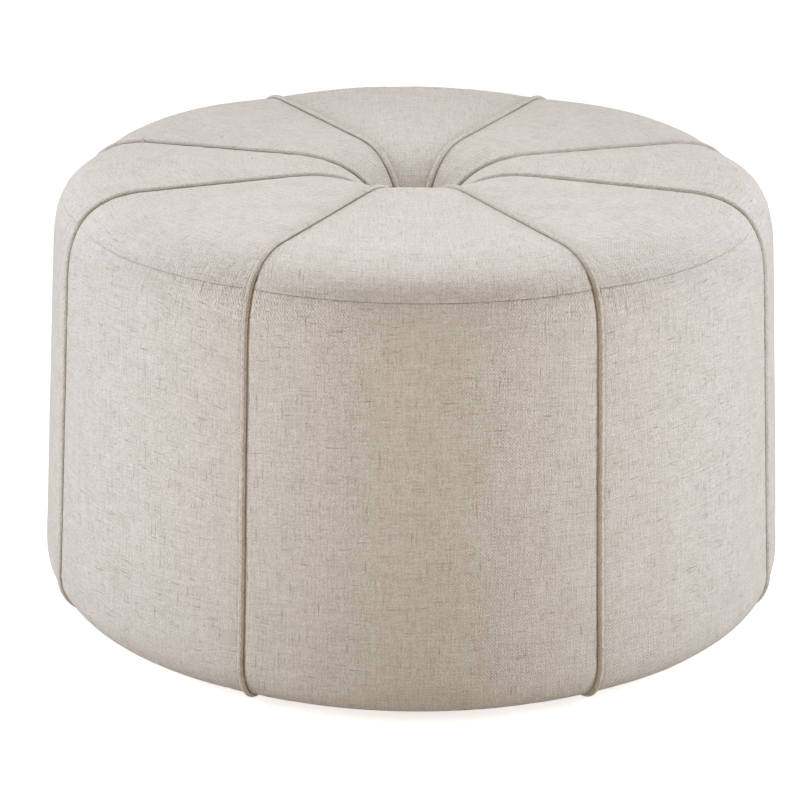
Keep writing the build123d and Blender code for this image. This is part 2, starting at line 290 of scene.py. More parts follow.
@dataclass(frozen=True)
class Finish:
    """A surface whose pattern, of a size in metres, runs between two colours.

    roughness is one value, or a pair for where the pattern is 0 and where it is 1. relief is the strength and
    height of the bump, sunk turns it over, and extras are further sockets of the shader. first_share is the
    brightness that the first colour keeps.
    """

    name: str
    first: str
    second: str
    size: float
    first_share: float = 1.0
    stretch: tuple[float, float, float] = (1.0, 1.0, 1.0)
    turn: tuple[float, float, float] = (0.0, 0.0, 0.0)
    roughness: float | tuple[float, float] = 0.6
    relief: tuple[float, float] | None = None
    sunk: bool = False
    extras: tuple = ()

    def pattern(self, tree: Tree, spot: Socket) -> tuple[Socket, Socket]:
        """Draws the pattern.

        Args:
            tree: the material's nodes.
            spot: place on the piece, in sizes of the pattern.

        Returns:
            Share of the second colour, and height of the bump.
        """
        raise NotImplementedError

    def colour(self, tree: Tree, place: Socket, share: Socket) -> Socket:
        """Colours the surface.

        Args:
            tree: the material's nodes.
            place: place on the piece, in metres.
            share: share of the second colour.

        Returns:
            The colour.
        """
        colours = {0: share, 6: linear(self.first, self.first_share), 7: linear(self.second)}
        return add(tree, "Mix", colours, data_type="RGBA").outputs[2]

    def surface(self, tree: Tree) -> tuple[Socket, Socket, Socket]:
        """Draws the surface.

        Args:
            tree: the material's nodes.

        Returns:
            Its colour, the share of its second colour, and its height.
        """
        place = add(tree, "TexCoord").outputs[3]
        scale = tuple(share / self.size for share in self.stretch)
        spot = add(tree, "Mapping", {"Vector": place, "Rotation": self.turn, "Scale": scale})
        share, height = self.pattern(tree, spot.outputs[0])
        return self.colour(tree, place, share), share, height

    def build(self) -> bpy.types.Material:
        """Makes the material.

        Returns:
            The material.
        """
        material, tree, out = new_material(self.name)
        colour, share, height = self.surface(tree)
        rough = self.roughness
        if isinstance(rough, tuple):
            rough = add(tree, "MapRange", {0: share, 3: rough[0], 4: rough[1]}).outputs[0]
        sockets = {"Base Color": colour, "Roughness": rough, **dict(self.extras)}
        if self.relief:
            bump = {"Strength": self.relief[0], "Distance": self.relief[1], "Height": height}
            sockets["Normal"] = add(tree, "Bump", bump, invert=self.sunk).outputs[0]
        shader = add(tree, "BsdfPrincipled", sockets)
        tree.links.new(shader.outputs[0], out.inputs[0])
        return material


class ThreadRun(Enum):
    """Which way a thread lies in the cloth, as the order in which it takes a length and a width."""

    WEFT = 1
    WARP = -1

    def lay(self, size: tuple[float, float]) -> tuple[float, float]:
        """Lays a length and a width along the thread."""
        return size[:: self.value]


@dataclass(frozen=True)
class LinenWeave(Finish):
    """Cream polyester-linen upholstery cloth, plain woven from slubby yarn and left matt.

    The eye sees a pale ground with a fine crosshatch of thicker yarns, and short beige slubs along both threads.
    size is the spacing of the threads. threads lists the uneven yarn and the bars where a thicker thread runs on
    for a few centimetres, each with its length and width, its weight and the seeds of both directions.
    """

    name: str = "linen_weave_cream"
    first: str = "C4BDB0"
    second: str = "ECEAE4"
    slub: str = "A08D76"
    # painted shade colour, laid into the creases and pleats
    shade: str = "906B3E"
    size: float = 1.7 * MM
    threads: tuple = (((11 * MM, 1.7 * MM), 0.62, (3.1, 8.3)), ((60 * MM, 2.6 * MM), 0.42, (51.0, 66.0)))
    blotch: float = 38 * MM
    cloudiness: float = 0.24
    tones: tuple[float, float] = (1.06, 1.98)
    slub_size: tuple[float, float] = (27 * MM, 2.0 * MM)
    slub_seeds: tuple[float, float] = (21.0, 37.0)
    slub_limits: tuple[float, float] = (0.68, 0.675)
    slub_edge: float = 0.12
    slub_tint: float = 0.5
    crease_shade_strength: float = 0.48
    weave_height: float = 0.22
    yarn_height: float = 0.9
    roughness: float = 0.92
    relief: tuple[float, float] = (1.0, 1.0 * MM)
    extras: tuple = (
        ("IOR", 1.46),
        ("Specular IOR Level", 0.25),
        ("Sheen Weight", 0.22),
        ("Sheen Roughness", 0.55),
        ("Sheen Tint", linear("F4EFE6")),
    )

    def patches(
        self,
        tree: Tree,
        place: Socket,
        size: tuple[float, float],
        seed: float = 0.0,
        detail: float = 2.0,
        roughness: float = 0.55,
    ) -> Socket:
        """Draws soft patches of noise on the cloth.

        Args:
            tree: the material's nodes.
            place: place on the cloth, in metres.
            size: mean size of a patch along the weft and along the warp.
            seed: moves the pattern.
            detail: how many finer layers the noise has.
            roughness: how strong they are.

        Returns:
            The patches' strength.
        """
        scale = (1 / size[0], 1 / size[1], 1)
        spot = add(tree, "Mapping", {"Vector": place, "Location": (seed, seed * 1.7, 0), "Scale": scale})
        look = {"Vector": spot.outputs[0], "Scale": 1.0, "Detail": detail, "Roughness": roughness}
        return add(tree, "TexNoise", look, noise_dimensions="2D").outputs[0]

    def surface(self, tree: Tree) -> tuple[Socket, Socket, Socket]:
        """Draws the cloth.

        Args:
            tree: the material's nodes.

        Returns:
            Its colour, the share of its pale yarn, and its height.
        """
        flat = add(tree, "UVMap", uv_map=CLOTH_MAP)
        place = add(tree, "Mapping", {"Vector": flat.outputs[0], "Rotation": self.turn}).outputs[0]

        # The grain of single crossings, uneven yarn and bars both ways, and broad cloudiness
        total = self.patches(tree, place, (self.size, self.size), detail=1.0, roughness=0.5)
        for size, weight, seeds in self.threads:
            weft, warp = (self.patches(tree, place, run.lay(size), seed) for run, seed in zip(ThreadRun, seeds))
            both = add(tree, "Math", {0: weft, 1: warp}, operation="ADD").outputs[0]
            total = add(tree, "Math", {0: both, 1: weight, 2: total}, operation="MULTIPLY_ADD").outputs[0]
        cloud = self.patches(tree, place, (self.blotch, self.blotch), detail=3.0, roughness=0.5)
        total = add(tree, "Math", {0: cloud, 1: self.cloudiness, 2: total}, operation="MULTIPLY_ADD").outputs[0]
        share = add(tree, "MapRange", {0: total, 1: self.tones[0], 2: self.tones[1]}).outputs[0]
        colour = self.colour(tree, place, share)

        # Slubs: the thick lengths of yarn show as beige dashes
        slubs = []
        for run, seed, limit in zip(ThreadRun, self.slub_seeds, self.slub_limits):
            streak = self.patches(tree, place, run.lay(self.slub_size), seed)
            cut = {0: streak, 1: limit, 2: limit + self.slub_edge, 3: 0.0, 4: self.slub_tint}
            slubs.append(add(tree, "MapRange", cut).outputs[0])
            colour = add(tree, "Mix", {0: slubs[-1], 6: colour, 7: linear(self.slub)}, data_type="RGBA").outputs[2]

        # Painted shade: the creases beside the piping and the flat seam are darkened towards a brown shade colour
        painted_shade = add(tree, "Attribute", attribute_name=PAINTED_SHADE_ATTRIBUTE, attribute_type="GEOMETRY")
        depth = add(tree, "Math", {0: painted_shade.outputs[2], 1: self.crease_shade_strength}, operation="MULTIPLY").outputs[0]
        colour = add(tree, "Mix", {0: depth, 6: colour, 7: linear(self.shade)}, data_type="RGBA").outputs[2]

        # Plain weave: threads stand up in turn, drawn at nearly three times their real spacing so that they show
        split = add(tree, "SeparateXYZ", {0: place})
        waves = []
        for axis in (0, 1):
            turn = add(tree, "Math", {0: split.outputs[axis], 1: math.pi / self.size}, operation="MULTIPLY")
            waves.append(add(tree, "Math", {0: turn.outputs[0]}, operation="SINE").outputs[0])
        checker = add(tree, "Math", {0: waves[0], 1: waves[1]}, operation="MULTIPLY").outputs[0]
        height = add(tree, "Math", {0: slubs[0], 1: slubs[1]}, operation="ADD").outputs[0]
        for part, weight in ((checker, self.weave_height), (total, self.yarn_height)):
            height = add(tree, "Math", {0: part, 1: weight, 2: height}, operation="MULTIPLY_ADD").outputs[0]
        return colour, share, height


@dataclass(frozen=True)
class SewingThread(Finish):
    """Bonded polyester thread, three-ply twisted, sunk in a seam; its taupe colour is painted shade, and the darker
    valleys of its ply are painted shade too.
    """

    name: str = "sewing_thread_taupe"
    first: str = "9A8A75"
    second: str = "9A8A75"
    size: float = 0.9 * MM
    # painted shade: the ply's valleys keep 70 % of the thread's colour
    first_share: float = 0.7
    extras: tuple = (("Sheen Weight", 0.2),)

    def pattern(self, tree: Tree, spot: Socket) -> tuple[Socket, Socket]:
        """Draws the twisted ply."""
        ply = add(tree, "TexNoise", {"Vector": spot, "Scale": 1.0}).outputs[0]
        return ply, ply


@dataclass(frozen=True)
class FoamCells(Finish):
    """Open-cell polyurethane foam, block-foamed and cut, cream with buff pores under a millimetre across.

    The cells are drawn coarser, 1.4 mm across, so that they show.
    """

    name: str = "open_cell_foam_cream"
    first: str = "EDE4C8"
    second: str = "CDBE94"
    size: float = 1.4 * MM
    roughness: float = 0.95
    relief: tuple[float, float] = (0.6, 0.5 * MM)
    sunk: bool = True

    def pattern(self, tree: Tree, spot: Socket) -> tuple[Socket, Socket]:
        """Draws cell walls with pores between them."""
        cells = add(tree, "TexVoronoi", {"Vector": spot, "Scale": 1.0}, feature="DISTANCE_TO_EDGE")
        pore = add(tree, "MapRange", {0: cells.outputs[0], 1: 0.02, 2: 0.22}).outputs[0]
        return pore, pore


@dataclass(frozen=True)
class PlanedPine(Finish):
    """Pine, planed and left bare: yellow earlywood, browner latewood lines some 4 mm apart, along the post."""

    name: str = "planed_pine"
    first: str = "E3C793"
    second: str = "B98A55"
    size: float = 4 * MM
    stretch: tuple[float, float, float] = (1.0, 1.0, 0.06)
    roughness: float = 0.62
    relief: tuple[float, float] = (0.2, 0.2 * MM)

    def pattern(self, tree: Tree, spot: Socket) -> tuple[Socket, Socket]:
        """Draws year rings that drift."""
        drift = add(tree, "TexNoise", {"Vector": spot, "Scale": 0.18, "Detail": 3.0})
        look = {"Vector": spot, "Scale": 0.16, "Distortion": 3.5, "Detail": 2.0}
        rings = add(tree, "TexWave", look, bands_direction="X")
        both = add(tree, "Math", {0: rings.outputs[1], 1: drift.outputs[0]}, operation="MULTIPLY").outputs[0]
        return both, both


@dataclass(frozen=True)
class SandedPlywood(Finish):
    """Birch plywood, rotary cut and sanded: long pale figure on its faces, plies 1.5 mm thick on its edges.

    The figure hardly changes through the thickness, so the last stretch brings that scale down to one.
    """

    name: str = "sanded_birch_plywood"
    first: str = "E2CFA9"
    second: str = "C9AC7B"
    dark_ply: str = "A98558"
    size: float = 9 * MM
    stretch: tuple[float, float, float] = (0.12, 1.0, 9 * MM)
    ply: float = 1.5 * MM
    ply_edge: float = 0.15
    roughness: float = 0.58
    relief: tuple[float, float] = (0.15, 0.2 * MM)

    def pattern(self, tree: Tree, spot: Socket) -> tuple[Socket, Socket]:
        """Draws the figure of the face veneer."""
        veneer = add(tree, "TexNoise", {"Vector": spot, "Scale": 1.0, "Detail": 5.0, "Distortion": 0.6}).outputs[0]
        return veneer, veneer

    def colour(self, tree: Tree, place: Socket, share: Socket) -> Socket:
        """Shows the figure on the faces, and light and dark plies on the edges.

        Args:
            tree: the material's nodes.
            place: place on the board, in metres.
            share: the figure's strength.

        Returns:
            The colour.
        """
        face = super().colour(tree, place, share)
        split = add(tree, "SeparateXYZ", {0: place})
        turn = add(tree, "Math", {0: split.outputs[2], 1: math.pi / self.ply}, operation="MULTIPLY")
        wave = add(tree, "Math", {0: turn.outputs[0]}, operation="SINE")
        band = add(tree, "MapRange", {0: wave.outputs[0], 1: -self.ply_edge, 2: self.ply_edge})
        plies = {0: band.outputs[0], 6: linear(self.first), 7: linear(self.dark_ply)}
        edge = add(tree, "Mix", plies, data_type="RGBA").outputs[2]
        up = add(tree, "SeparateXYZ", {0: add(tree, "NewGeometry").outputs[1]})
        flat = add(tree, "Math", {0: up.outputs[2]}, operation="ABSOLUTE")
        on_face = add(tree, "Math", {0: flat.outputs[0], 1: 0.5}, operation="GREATER_THAN").outputs[0]
        return add(tree, "Mix", {0: on_face, 6: edge, 7: face}, data_type="RGBA").outputs[2]


@dataclass(frozen=True)
class BentFibreboard(Finish):
    """Hardboard, wet-pressed wood fibre: brown, with matted fibres a few millimetres long."""

    name: str = "pressed_fibreboard"
    first: str = "8F6C48"
    second: str = "6F5236"
    size: float = 5 * MM
    roughness: float = 0.7
    relief: tuple[float, float] = (0.25, 0.3 * MM)

    def pattern(self, tree: Tree, spot: Socket) -> tuple[Socket, Socket]:
        """Draws the matted fibres."""
        look = {"Vector": spot, "Scale": 1.0, "Detail": 6.0, "Roughness": 0.75, "Distortion": 1.4}
        mat = add(tree, "TexNoise", look)
        sharp = add(tree, "MapRange", {0: mat.outputs[0], 1: 0.35, 2: 0.7}).outputs[0]
        return sharp, sharp


@dataclass(frozen=True)
class WaxedTwine(Finish):
    """Waxed linen tufting twine, twisted: buff, faintly glossy, with plies about 2 mm apart."""

    name: str = "waxed_linen_twine"
    first: str = "9C8A66"
    second: str = "D9CBAA"
    size: float = 2.2 * MM
    turn: tuple[float, float, float] = (0.6, 0.5, 0.0)
    roughness: float = 0.45
    relief: tuple[float, float] = (0.6, 0.3 * MM)

    def pattern(self, tree: Tree, spot: Socket) -> tuple[Socket, Socket]:
        """Draws the lay of the plies."""
        look = {"Vector": spot, "Scale": 0.3, "Distortion": 0.4}
        ply = add(tree, "TexWave", look, bands_direction="Z").outputs[1]
        return ply, ply


@dataclass(frozen=True)
class SpunbondCloth(Finish):
    """Spunbonded polypropylene dust cloth: black, with a lattice of heat-pressed points 1.6 mm apart."""

    name: str = "spunbond_cloth_black"
    first: str = "26262A"
    second: str = "3A3A3F"
    size: float = 1.6 * MM
    turn: tuple[float, float, float] = (0.0, 0.0, math.pi / 4)
    roughness: float = 0.75
    relief: tuple[float, float] = (0.4, 0.15 * MM)
    sunk: bool = True

    def pattern(self, tree: Tree, spot: Socket) -> tuple[Socket, Socket]:
        """Draws the pressed points over a mat of fibres."""
        look = {"Vector": spot, "Scale": 1.0, "Randomness": 0.1}
        dots = add(tree, "TexVoronoi", look, voronoi_dimensions="2D")
        dot = add(tree, "MapRange", {0: dots.outputs[0], 1: 0.2, 2: 0.34, 3: 1.0, 4: 0.0})
        fibre = add(tree, "TexNoise", {"Vector": spot, "Scale": 0.8, "Detail": 5.0})
        mixed = {0: dot.outputs[0], 1: 0.6, 2: fibre.outputs[0]}
        both = add(tree, "Math", mixed, operation="MULTIPLY_ADD").outputs[0]
        return both, both


@dataclass(frozen=True)
class MouldedNylon(Finish):
    """Nylon, injection moulded: brown, softly glossy, its sole scuffed paler by sliding."""

    name: str = "moulded_nylon_brown"
    first: str = "5A4636"
    second: str = "7B6858"
    size: float = 0.8 * MM
    stretch: tuple[float, float, float] = (1.0, 0.2, 1.0)
    roughness: tuple[float, float] = (0.38, 0.6)
    relief: tuple[float, float] = (0.15, 0.1 * MM)
    extras: tuple = (("IOR", 1.53),)

    def pattern(self, tree: Tree, spot: Socket) -> tuple[Socket, Socket]:
        """Draws scuffs along one way."""
        marks = add(tree, "TexNoise", {"Vector": spot, "Scale": 1.0, "Detail": 3.0}).outputs[0]
        return add(tree, "MapRange", {0: marks, 1: 0.5, 2: 0.75}).outputs[0], marks


@dataclass(frozen=True)
class ZincPlate(Finish):
    """Mild steel, drawn and bright zinc plated: cool grey, with a fine spangle and a blurred gloss."""

    name: str = "zinc_plated_steel"
    first: str = "8E9194"
    second: str = "C6C8CA"
    size: float = 0.7 * MM
    roughness: tuple[float, float] = (0.28, 0.46)
    extras: tuple = (("Metallic", 1.0),)

    def pattern(self, tree: Tree, spot: Socket) -> tuple[Socket, Socket]:
        """Draws the spangle."""
        spangle = add(tree, "TexNoise", {"Vector": spot, "Scale": 1.0, "Detail": 2.0}).outputs[0]
        return spangle, spangle


@dataclass(frozen=True)
class StudioPaint:
    """Matt white studio floor: it shows almost white to the camera and keeps the object's soft shadow."""

    name: str = "studio_floor_white"
    colour: str = "F3EEE6"
    lift: float = 0.75

    def build(self) -> bpy.types.Material:
        """Makes the material.

        Returns:
            The material.
        """
        material, tree, out = new_material(self.name)
        matt = add(tree, "BsdfDiffuse", {"Color": linear(self.colour), "Roughness": 1.0})
        power = add(tree, "Math", {0: seen_rays(tree), 1: self.lift}, operation="MULTIPLY")
        glow = add(tree, "Emission", {"Color": (1, 1, 1, 1), "Strength": power.outputs[0]})
        total = add(tree, "AddShader", {0: matt.outputs[0], 1: glow.outputs[0]})
        tree.links.new(total.outputs[0], out.inputs[0])
        return material


class Stop(Enum):
    """Stretches of the body's section, from under the foot over the top and into the tuft."""

    UNDER = 0
    FOOT = 1
    WALL = 2
    EDGE_LOW = 3
    EDGE_HIGH = 4
    TOP = 5
    ROLL = 6
    FUNNEL = 7


@dataclass
class Bend:
    """Round stretches of the section, one for each azimuth asked for."""

    reach: np.ndarray
    level: np.ndarray
    radius: np.ndarray | float

    def at(self, angle: np.ndarray | float, inset: float | np.ndarray) -> tuple[np.ndarray, np.ndarray]:
        """Finds points on the bend.

        Args:
            angle: angle of each point.
            inset: how far inside the cover's outer face.

        Returns:
            Reaches and levels.
        """
        arm = self.radius - inset
        return self.reach + arm * np.cos(angle), self.level + arm * np.sin(angle)

    def tangent_to(self, other: "Bend") -> np.ndarray:
        """Finds where a straight run leaves this bend to meet the next.

        Args:
            other: the next bend.

        Returns:
            Angle on both bends.
        """
        reach, rise = other.reach - self.reach, other.level - self.level
        turn = np.arccos((self.radius - other.radius) / np.hypot(reach, rise))
        return math.pi / 2 + np.arctan2(-reach, rise) - turn

    def run_to(self, other: "Bend") -> np.ndarray:
        """Measures the straight run between this bend and the next."""
        apart = (other.reach - self.reach) ** 2 + (other.level - self.level) ** 2
        return np.sqrt(apart - (other.radius - self.radius) ** 2)


@dataclass(frozen=True)
class BodyForm:
    """Sizes of the covered body, and the places on its surface."""

    width: float = 800 * MM
    depth: float = 980 * MM
    height: float = 466 * MM
    clearance: float = 8 * MM
    foot_radius: float = 42 * MM
    edge_radius: float = 62 * MM
    edge_fill: float = 14 * MM
    lean: float = 14 * MM
    crown: float = 2 * MM
    roll_radius: float = 96 * MM
    roll_reach: float = 117 * MM
    roll_slope: float = math.radians(58)
    ease: float = 38 * MM
    opening: float = 16 * MM
    gores: int = 8
    seam_draw: float = 1.8 * MM
    gore_rise: float = 1.8 * MM
    stitch_drop: float = 27.5 * MM
    wrap: float = 54 * MM
    deck_level: float = 346 * MM

    @property
    def gore_angle(self) -> float:
        """Angle that one gore takes."""
        return FULL_TURN / self.gores

    @property
    def stitch_level(self) -> float:
        """Level of the flat seam."""
        return self.height - self.gore_rise - self.crown - self.stitch_drop

    def seam(self, number: int) -> float:
        """Azimuth of the seam on the clockwise side of a gore."""
        return -math.pi / 2 + (number - 1.5) * self.gore_angle

    def oval(self, inset: float, azimuth: np.ndarray) -> np.ndarray:
        """Reach of an oval inset from the covered body."""
        return 1 / np.hypot(np.cos(azimuth) / (self.width / 2 - inset), np.sin(azimuth) / (self.depth / 2 - inset))

    def lift(self, azimuth: np.ndarray) -> np.ndarray:
        """How far a place is from its seams, 0 on a seam and 1 in the middle of a gore."""
        return np.abs(np.sin(math.pi * (azimuth - self.seam(1)) / self.gore_angle))

    def at(self, stop: Stop, share: float, azimuth: np.ndarray, inset: float | np.ndarray = 0.0) -> np.ndarray:
        """Finds points of the cover.

        Args:
            stop: stretch of the section.
            share: how far along that stretch, from 0 to 1.
            azimuth: azimuths of the points.
            inset: how far inside the cover's outer face.

        Returns:
            One point for each azimuth.
        """
        azimuth = np.asarray(azimuth, float)
        slack = 1 - self.lift(azimuth)
        drawn, sunk = self.seam_draw * slack, self.gore_rise * slack
        low_level = self.clearance + self.foot_radius + 0 * azimuth
        foot = Bend(self.oval(0, azimuth) - drawn - self.foot_radius, low_level, self.foot_radius)
        # The stuffing fills each gore's edge out between its seams, to a tighter bend
        bend = self.edge_radius - self.edge_fill * (1 - slack)
        edge = Bend(self.oval(self.lean, azimuth) - drawn - bend, self.height - self.crown - sunk - bend, bend)
        roll = Bend(self.roll_reach + 0 * azimuth, self.height - sunk - self.roll_radius, self.roll_radius)
        wall_turn, top_turn, last_turn = foot.tangent_to(edge), edge.tangent_to(roll), math.pi / 2 + self.roll_slope
        stitch = np.arcsin((self.stitch_level - edge.level) / bend)

        # Stretched cloth eases from each bend into the flats beside it, so its round sinks in a little
        low, high = bend * (stitch - wall_turn), bend * (top_turn - stitch)
        wall, flat = foot.run_to(edge), edge.run_to(roll)
        around = self.roll_radius * (last_turn - top_turn)
        chute = (self.roll_reach + self.roll_radius * math.cos(last_turn) - self.opening) / math.cos(self.roll_slope)
        roll_start = low + high + flat
        start, length = {
            Stop.WALL: (-wall, wall),
            Stop.EDGE_LOW: (0.0, low),
            Stop.EDGE_HIGH: (low, high),
            Stop.TOP: (low + high, flat),
            Stop.ROLL: (roll_start, around),
            Stop.FUNNEL: (roll_start + around, chute),
        }.get(stop, (-wall, 0.0))
        past = start + share * length
        inset = inset + (self.sink(past) - self.sink(past - low - high)) / bend
        inset = inset + (self.sink(past - roll_start) - self.sink(past - roll_start - around)) / self.roll_radius

        rounds = {
            Stop.FOOT: (foot, -math.pi / 2, wall_turn),
            Stop.EDGE_LOW: (edge, wall_turn, stitch),
            Stop.EDGE_HIGH: (edge, stitch, top_turn),
            Stop.ROLL: (roll, top_turn, last_turn),
        }
        if stop in rounds:
            arc, first, last = rounds[stop]
            return round_points(*arc.at(first + share * (last - first), inset), azimuth)
        if stop is Stop.UNDER:
            reach, level = foot.at(-math.pi / 2, inset)
            return round_points(reach - self.wrap * (1 - share), level, azimuth)
        first, last = {
            Stop.WALL: (foot.at(wall_turn, inset), edge.at(wall_turn, inset)),
            Stop.TOP: (edge.at(top_turn, inset), roll.at(top_turn, inset)),
            Stop.FUNNEL: (roll.at(last_turn, inset), self.funnel_end(roll, last_turn, inset)),
        }[stop]
        reach = first[0] + share * (last[0] - first[0])
        return round_points(reach, first[1] + share * (last[1] - first[1]), azimuth)

    def sink(self, past: np.ndarray) -> np.ndarray:
        """Finds how far a bend of radius one sinks where its curve grows evenly from nothing.

        Args:
            past: distance past the bend's start.

        Returns:
            The sinking, times the bend's radius.
        """
        share = np.clip(past / self.ease, -1, 1)
        return self.ease**2 * ((share + 1) ** 3 / 12 - np.maximum(share, 0) ** 2 / 2)

    def funnel_end(self, roll: Bend, turn: float, inset: float | np.ndarray) -> tuple[np.ndarray, np.ndarray]:
        """Finds the foot of the funnel, at the tuft's opening.

        Args:
            roll: the bend above it.
            turn: angle at which that bend ends.
            inset: how far inside the cover's outer face.

        Returns:
            Reaches and levels.
        """
        reach, level = roll.at(turn, inset)
        return self.opening + 0 * reach, level - (reach - self.opening) * math.tan(self.roll_slope)


@dataclass(frozen=True)
class Stuffing:
    """Cloth simulation that fills a sewn panel out over its foam, with its seams held."""

    pressure: float = 4.0
    slack: float = 0.0008
    frames: int = 12
    quality: int = 5
    mass: float = 0.35
    stiffness: float = 25
    shear: float = 10
    bending: float = 2.0
    most_out: float = 2.2 * MM
    most_in: float = 0.8 * MM

    def fill(self, points: np.ndarray, held: np.ndarray) -> np.ndarray:
        """Simulates one panel.

        Args:
            points: grid of points.
            held: which points the seams hold.

        Returns:
            How far each point moves along its normal.
        """
        material = bpy.data.materials.new("basting")
        panel = new_object("basted_panel", points, grid_faces(*points.shape[:2]), material)
        group = panel.vertex_groups.new(name="held")
        group.add(np.flatnonzero(held.ravel()).tolist(), 1.0, "REPLACE")
        cloth = panel.modifiers.new("cloth", "CLOTH")
        cloth.settings.quality = self.quality
        cloth.settings.mass = self.mass
        cloth.settings.tension_stiffness = cloth.settings.compression_stiffness = self.stiffness
        cloth.settings.shear_stiffness = self.shear
        cloth.settings.bending_stiffness = self.bending
        cloth.settings.use_pressure = True
        cloth.settings.uniform_pressure_force = self.pressure
        cloth.settings.shrink_min = -self.slack
        cloth.settings.vertex_group_mass = group.name
        cloth.settings.effector_weights.gravity = 0
        cloth.collision_settings.use_collision = False
        cloth.point_cache.frame_start = 1
        cloth.point_cache.frame_end = self.frames
        scene = bpy.context.scene
        for frame in range(1, self.frames + 1):
            scene.frame_set(frame)
        result = panel.evaluated_get(bpy.context.evaluated_depsgraph_get()).to_mesh()
        moved = np.zeros(points.size)
        result.vertices.foreach_get("co", moved)
        mesh = panel.data
        bpy.data.objects.remove(panel)
        bpy.data.meshes.remove(mesh)
        bpy.data.materials.remove(material)
        scene.frame_set(1)
        out = ((moved.reshape(points.shape) - points) * grid_normals(points)).sum(-1)
        return np.clip(out, -self.most_in, self.most_out)


@dataclass
class SewnCover:
    """Eight top gores and eight side panels, sewn to piping at their sides and to each other along a flat seam.

    tuck is the dip beside the piping and groove the dip along the flat seam, which is tighter on the long ends
    than on the sides. well is the share of the roll's reach inside which the cloth is held. Each fade is the
    distance over which waves or puckers grow to their full height.
    """

    form: BodyForm
    weave: LinenWeave
    cloth: float = 1.6 * MM
    half_columns: int = 24
    grading: float = 1.7
    seam_edge: float = 0.5 * MM
    tuck_depth: float = 2.2 * MM
    tuck_width: float = 2.7 * MM
    tuck_hold: float = 1.6
    flat_gap: float = 0.14 * MM
    groove_depth: float = 0.6 * MM
    groove_width: float = 0.8 * MM
    groove_hold: float = 2.2
    least_tight: float = 0.3
    well: float = 0.42
    pucker: float = 0.55 * MM
    pucker_pitch: float = 17 * MM
    pucker_reach: float = 24 * MM
    top_pucker: float = 0.35
    pucker_fade: float = 9 * MM
    side_pucker: float = 0.5
    side_fade: float = 6 * MM
    wave: float = 0.3 * MM
    wave_pitch: float = 0.13
    wave_start: float = 1.4
    wave_fade: float = 14 * MM
    seam_fade: float = 10 * MM
    well_start: float = 0.4
    well_fade: float = 60 * MM
    piping_shade_width: float = 3.2 * MM
    piping_shade: float = 1.1
    seam_shade: float = 0.3
    stuffing: Stuffing = field(default_factory=Stuffing)
    side_rows: tuple = ((Stop.UNDER, 9), (Stop.FOOT, 11), (Stop.WALL, 52), (Stop.EDGE_LOW, 16))
    top_rows: tuple = ((Stop.EDGE_HIGH, 18), (Stop.TOP, 36), (Stop.ROLL, 26), (Stop.FUNNEL, 6))

    def shares(self, stop: Stop, count: int) -> np.ndarray:
        """Spaces the rows of one stretch, closer together towards the flat seam.

        Args:
            stop: stretch of the section.
            count: number of rows.

        Returns:
            Share of the stretch at each row.
        """
        even = np.linspace(0, 1, count + 1)[1:]
        if stop is Stop.EDGE_LOW:
            return 1 - (1 - even) ** self.grading
        return even**self.grading if stop is Stop.EDGE_HIGH else even

    def grid(self, number: int, stretches: tuple) -> tuple[np.ndarray, np.ndarray]:
        """Lays out the outer face of one piece of cloth.

        Args:
            number: the gore.
            stretches: stretches of the section and their numbers of rows.

        Returns:
            The points, and how far each lies from the nearer seam plane.
        """
        form = self.form
        left, right = form.seam(number), form.seam(number + 1)
        half = np.linspace(0, 1, self.half_columns + 1) ** self.grading
        spread = np.concatenate([half, half[-2::-1]])
        is_left = np.arange(spread.size) <= self.half_columns
        rows, sides = [], []
        stops = [(stretches[0][0], 0.0)]
        for stop, count in stretches:
            stops.extend((stop, float(share)) for share in self.shares(stop, count))
        for stop, share in stops:
            reach = np.full(spread.size, form.width / 2)
            # The azimuth and the reach depend on each other, so both are worked out in rounds
            for _ in range(4):
                room = reach * math.sin(form.gore_angle / 2)
                side = np.minimum(self.seam_edge + (room - self.seam_edge) * spread, room)
                turn = np.arcsin(side / reach)
                row = form.at(stop, share, np.where(is_left, left + turn, right - turn))
                reach = np.hypot(row[:, 0], row[:, 1])
            rows.append(row)
            sides.append(side)
        return np.array(rows), np.array(sides)

    def ripple(self, along: np.ndarray, away: np.ndarray, seed: int) -> np.ndarray:
        """Puckers that a seam draws into the cloth beside it.

        Args:
            along: place along the seam.
            away: distance from the seam.
            seed: makes each seam its own.

        Returns:
            Height of the puckers.
        """
        chance = np.random.default_rng(seed)
        total = np.zeros_like(along)
        for _ in range(7):
            pitch = self.pucker_pitch * chance.uniform(0.55, 1.9)
            fade = self.pucker_reach * chance.uniform(0.4, 1.3)
            beat = np.sin(FULL_TURN * (along / pitch + chance.random()))
            total += beat * np.exp(-away / fade) * pitch / self.pucker_pitch
        return total / 4.0

    def swell(self, cloth: np.ndarray, seed: int) -> np.ndarray:
        """Slow waves that hand work leaves in stretched cloth.

        Args:
            cloth: place of each point on the flat cloth.
            seed: makes each piece its own.

        Returns:
            Height of the waves, from about -1 to 1.
        """
        chance = np.random.default_rng(seed)
        total = np.zeros(cloth.shape[:2])
        for _ in range(9):
            pitch = chance.uniform(0.06, 0.2)
            heading = chance.uniform(0, math.pi)
            across = cloth[..., 0] * math.cos(heading) + cloth[..., 1] * math.sin(heading)
            total += np.sin(FULL_TURN * (across / pitch + chance.random())) * pitch / self.wave_pitch
        return total / 5.0

    def lay_flat(self, points: np.ndarray, number: int) -> np.ndarray:
        """Finds where each point lies on the bolt of cloth.

        Args:
            points: grid of points.
            number: moves the piece to its own part of the bolt.

        Returns:
            Distance across and along the cloth.
        """
        middle = points.shape[1] // 2
        across = run_along(points.swapaxes(0, 1)).T
        across = across - across[:, middle : middle + 1]
        along = run_along(points[:, middle])
        return np.stack([across + 1.37 * number, along[:, None] + 0 * across + 0.83 * number], -1)

